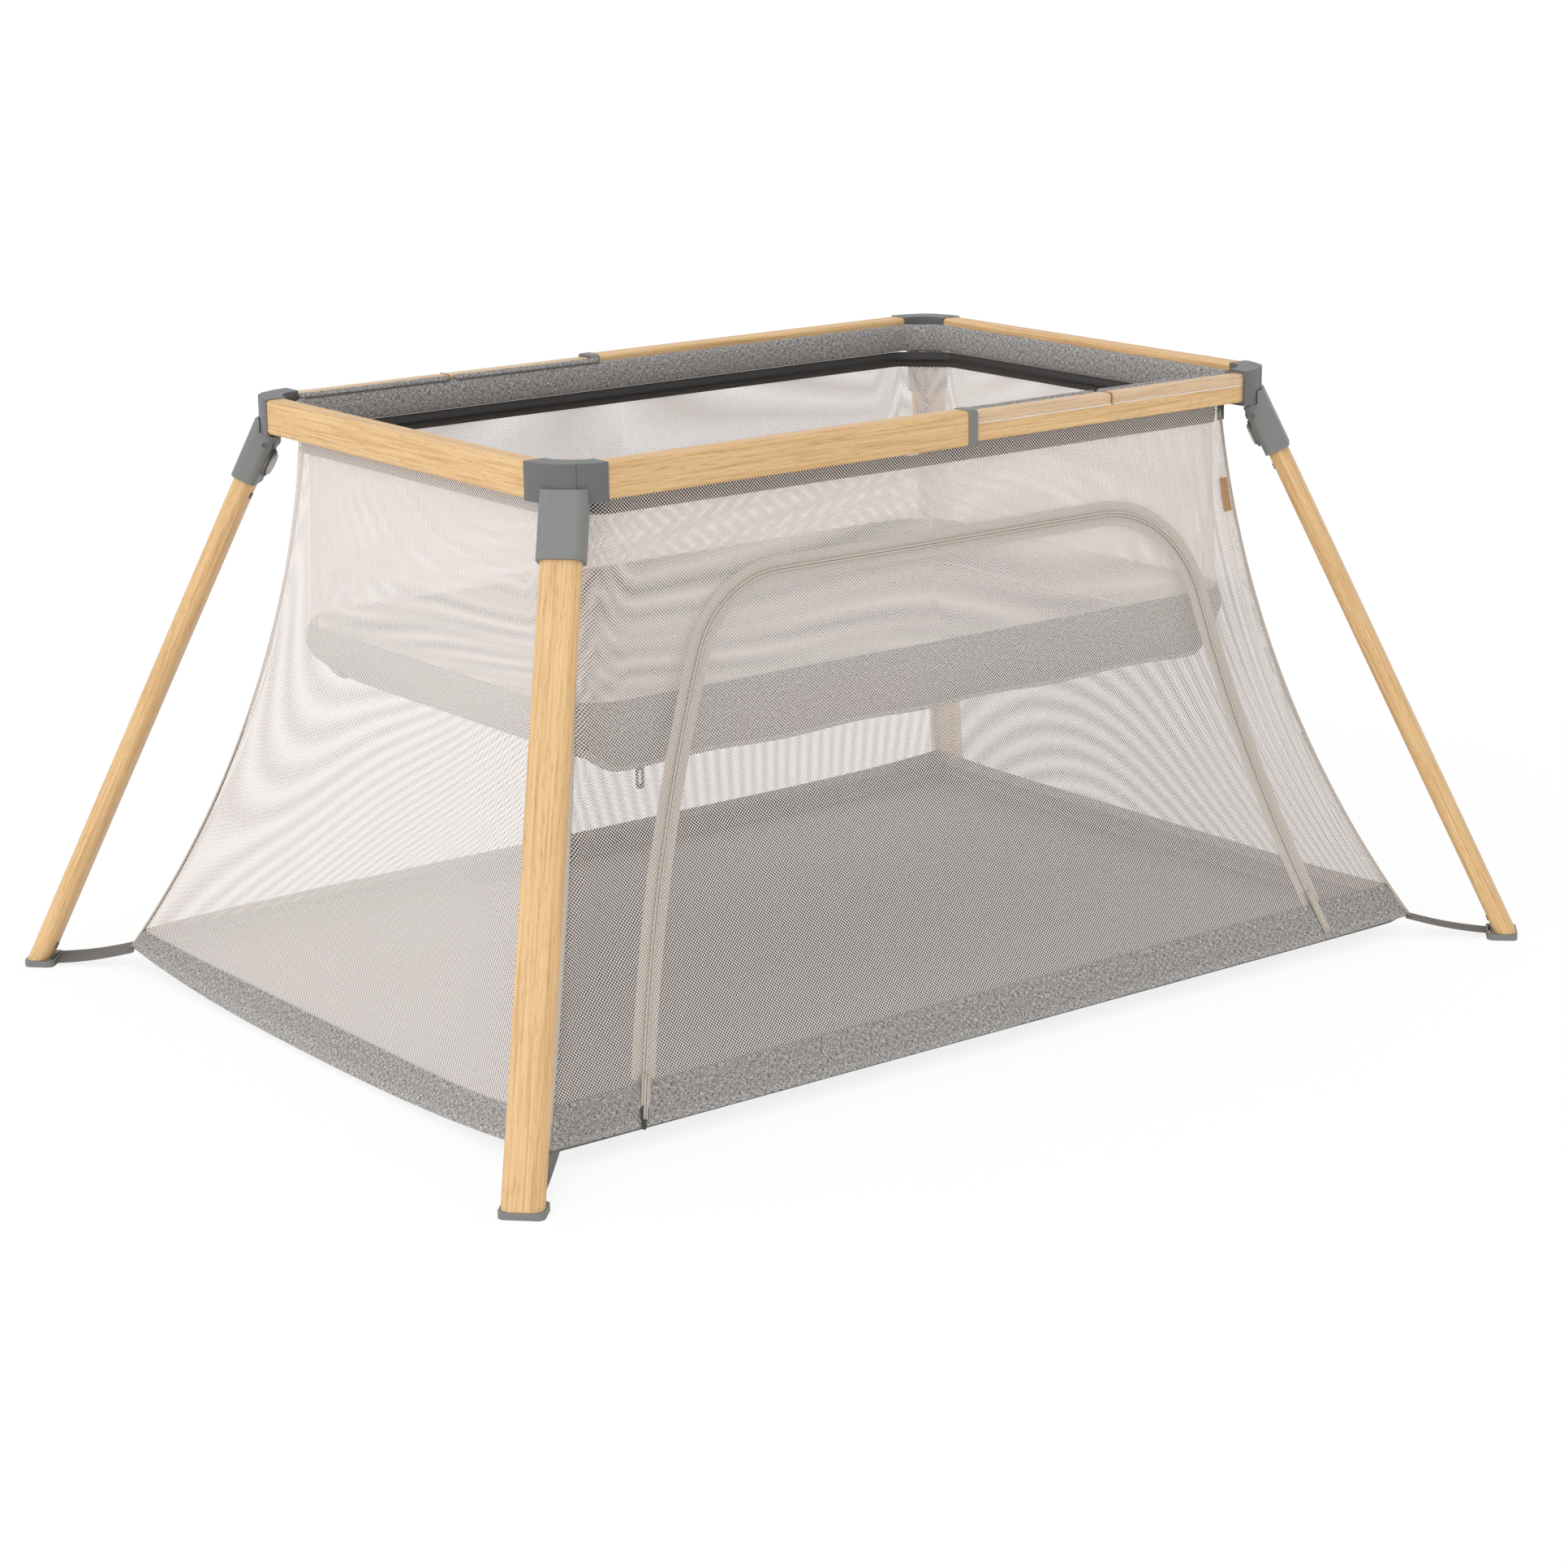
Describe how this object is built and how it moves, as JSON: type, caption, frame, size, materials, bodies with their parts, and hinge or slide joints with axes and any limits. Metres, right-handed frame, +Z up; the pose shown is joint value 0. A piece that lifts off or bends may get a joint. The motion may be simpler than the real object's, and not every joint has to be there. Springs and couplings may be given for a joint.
{
  "type": "travel playpen",
  "caption": "Travel playpen with a telescoping wood-effect frame, folding splayed legs, a mesh tent with a zipped door and a hung bassinet.",
  "frame": {"origin": "floor level under the middle of the frame", "axes": "+X along the long rails, +Y from the zipped door to the back wall, +Z up"},
  "size_m": [1.3862, 1.0332, 0.651],
  "materials": {
    "wood_effect_rail": "wood-effect wrap",
    "wood_effect_leg": "wood-effect wrap",
    "grey_plastic": "satin",
    "button_plastic": "satin",
    "white_plastic": "gloss",
    "dark_plastic": "satin",
    "clear_plastic": "clear",
    "steel": "dark",
    "mesh_cloth": "open mesh",
    "melange_cloth": "melange weave",
    "beige_tape": "binding tape",
    "charcoal_zip": "zip tape",
    "grey_webbing": "webbing",
    "dark_metal": "satin",
    "tan_label": "plain"
  },
  "bodies": {
    "left_frame": {"front_rail_outer": "wood_effect_rail", "front_rail_collar": "grey_plastic", "back_rail_inner": "wood_effect_rail", "back_rail_plug": "dark_plastic", "back_rail_clear_strips": "clear_plastic", "left_end_rail": "wood_effect_rail", "left_pivot_pins": "steel", "hub_front_left": "grey_plastic", "hub_back_left": "grey_plastic", "front_mesh_wall": "mesh_cloth", "back_mesh_wall": "mesh_cloth", "left_mesh_wall": "mesh_cloth", "right_mesh_wall": "mesh_cloth", "door_zip": "beige_tape", "base_skirt": "melange_cloth", "floor_mat": "melange_cloth", "corner_piping": "beige_tape", "anchor_straps": "grey_webbing", "side_label": "tan_label", "top_band": "melange_cloth", "liner_zip": "charcoal_zip", "bassinet_mesh": "mesh_cloth", "bassinet_tub": "melange_cloth", "bassinet_mattress": "melange_cloth", "bassinet_zip_bail": "dark_metal"},
    "right_frame": {"back_rail_outer": "wood_effect_rail", "back_rail_collar": "grey_plastic", "front_rail_inner": "wood_effect_rail", "front_rail_plug": "dark_plastic", "front_rail_clear_strips": "clear_plastic", "right_end_rail": "wood_effect_rail", "right_pivot_pins": "steel", "hub_front_right": "grey_plastic", "hub_back_right": "grey_plastic"},
    "leg_front_left": {"leg_socket_front_left": "grey_plastic", "leg_tube_front_left": "wood_effect_leg", "foot_cap_front_left": "grey_plastic", "leg_screws_front_left": "steel"},
    "button_front_left": {"leg_button_front_left": "button_plastic"},
    "leg_front_right": {"leg_socket_front_right": "grey_plastic", "leg_tube_front_right": "wood_effect_leg", "foot_cap_front_right": "grey_plastic", "leg_screws_front_right": "steel"},
    "button_front_right": {"leg_button_front_right": "button_plastic"},
    "leg_back_left": {"leg_socket_back_left": "grey_plastic", "leg_tube_back_left": "wood_effect_leg", "foot_cap_back_left": "grey_plastic", "leg_screws_back_left": "steel"},
    "button_back_left": {"leg_button_back_left": "button_plastic"},
    "leg_back_right": {"leg_socket_back_right": "grey_plastic", "leg_tube_back_right": "wood_effect_leg", "foot_cap_back_right": "grey_plastic", "leg_screws_back_right": "steel"},
    "button_back_right": {"leg_button_back_right": "button_plastic"},
    "front_lock": {"front_rail_lock_button": "white_plastic"},
    "back_lock": {"back_rail_lock_button": "white_plastic"},
    "door_left": {"door_panel_left": "mesh_cloth"},
    "door_right": {"door_panel_right": "mesh_cloth"},
    "door_slider": {"door_zip_slider": "dark_metal"},
    "zip_pull": {"bassinet_zip_pull": "dark_metal"}
  },
  "joints": [
    {"name": "frame_telescope", "type": "slide", "parent": "left_frame", "child": "right_frame", "axis": [1, 0, 0], "range_m": [-0.25, 0], "deforming": ["front_mesh_wall", "back_mesh_wall", "left_mesh_wall", "right_mesh_wall", "door_zip", "base_skirt", "floor_mat", "corner_piping", "anchor_straps", "side_label", "top_band", "liner_zip", "bassinet_mesh", "bassinet_tub", "bassinet_mattress", "bassinet_zip_bail", "door_panel_left", "door_panel_right", "door_zip_slider", "bassinet_zip_pull"]},
    {"name": "leg_fold_front_left", "type": "hinge", "parent": "left_frame", "child": "leg_front_left", "pos_m": [-0.45986, -0.28336, 0.599], "axis": [0.7071, -0.7071, 0], "range_deg": [0, 112], "deforming": ["front_mesh_wall", "back_mesh_wall", "left_mesh_wall", "right_mesh_wall", "door_zip", "base_skirt", "floor_mat", "corner_piping", "anchor_straps", "side_label", "top_band", "liner_zip", "bassinet_mesh", "bassinet_tub", "bassinet_mattress", "bassinet_zip_bail", "door_panel_left", "door_panel_right", "door_zip_slider", "bassinet_zip_pull"]},
    {"name": "leg_button_front_left_press", "type": "slide", "parent": "leg_front_left", "child": "button_front_left", "axis": [-0.6355, -0.6355, 0.4384], "range_m": [0, 0.003], "stiffness_N_per_m": 800, "springref_m": -0.002},
    {"name": "leg_fold_front_right", "type": "hinge", "parent": "right_frame", "child": "leg_front_right", "pos_m": [0.45986, -0.28336, 0.599], "axis": [0.7071, 0.7071, 0], "range_deg": [0, 108.13]},
    {"name": "leg_button_front_right_press", "type": "slide", "parent": "leg_front_right", "child": "button_front_right", "axis": [0.6355, -0.6355, 0.4384], "range_m": [0, 0.003], "stiffness_N_per_m": 800, "springref_m": -0.002},
    {"name": "leg_fold_back_left", "type": "hinge", "parent": "left_frame", "child": "leg_back_left", "pos_m": [-0.45986, 0.28336, 0.599], "axis": [-0.7071, -0.7071, 0], "range_deg": [0, 104.21]},
    {"name": "leg_button_back_left_press", "type": "slide", "parent": "leg_back_left", "child": "button_back_left", "axis": [-0.6355, 0.6355, 0.4384], "range_m": [0, 0.003], "stiffness_N_per_m": 800, "springref_m": -0.002},
    {"name": "leg_fold_back_right", "type": "hinge", "parent": "right_frame", "child": "leg_back_right", "pos_m": [0.45986, 0.28336, 0.599], "axis": [-0.7071, 0.7071, 0], "range_deg": [0, 100.29]},
    {"name": "leg_button_back_right_press", "type": "slide", "parent": "leg_back_right", "child": "button_back_right", "axis": [0.6355, 0.6355, 0.4384], "range_m": [0, 0.003], "stiffness_N_per_m": 800, "springref_m": -0.002},
    {"name": "front_rail_lock_press", "type": "slide", "parent": "left_frame", "child": "front_lock", "axis": [0, 0, 1], "range_m": [0, 0.00225], "stiffness_N_per_m": 800, "springref_m": -0.002},
    {"name": "back_rail_lock_press", "type": "slide", "parent": "right_frame", "child": "back_lock", "axis": [0, 0, 1], "range_m": [0, 0.00225], "stiffness_N_per_m": 800, "springref_m": -0.002},
    {"name": "door_open_left", "type": "hinge", "parent": "left_frame", "child": "door_left", "pos_m": [0, -0.40044, 0.0573], "axis": [1, 0, 0], "range_deg": [0, 108]},
    {"name": "door_open_right", "type": "hinge", "parent": "right_frame", "child": "door_right", "pos_m": [0, -0.40044, 0.0573], "axis": [1, 0, 0], "range_deg": [0, 108.05]},
    {"name": "door_zip_run", "type": "slide", "parent": "left_frame", "child": "door_slider", "axis": [0.3494, 0.3902, 0.8519], "range_m": [0, 0.08]},
    {"name": "bassinet_zip_pull_swing", "type": "hinge", "parent": "left_frame", "child": "zip_pull", "pos_m": [-0.3579, -0.2514, 0.3308], "axis": [0, 1, 0], "range_deg": [-40, 40]}
  ],
  "couplings": [
    {"joint": "leg_fold_front_right", "follows": "leg_fold_front_left", "ratio": 0.965},
    {"joint": "leg_fold_back_left", "follows": "leg_fold_front_left", "ratio": 0.93},
    {"joint": "leg_fold_back_right", "follows": "leg_fold_front_left", "ratio": 0.895},
    {"joint": "door_open_right", "follows": "door_open_left", "ratio": 1}
  ]
}
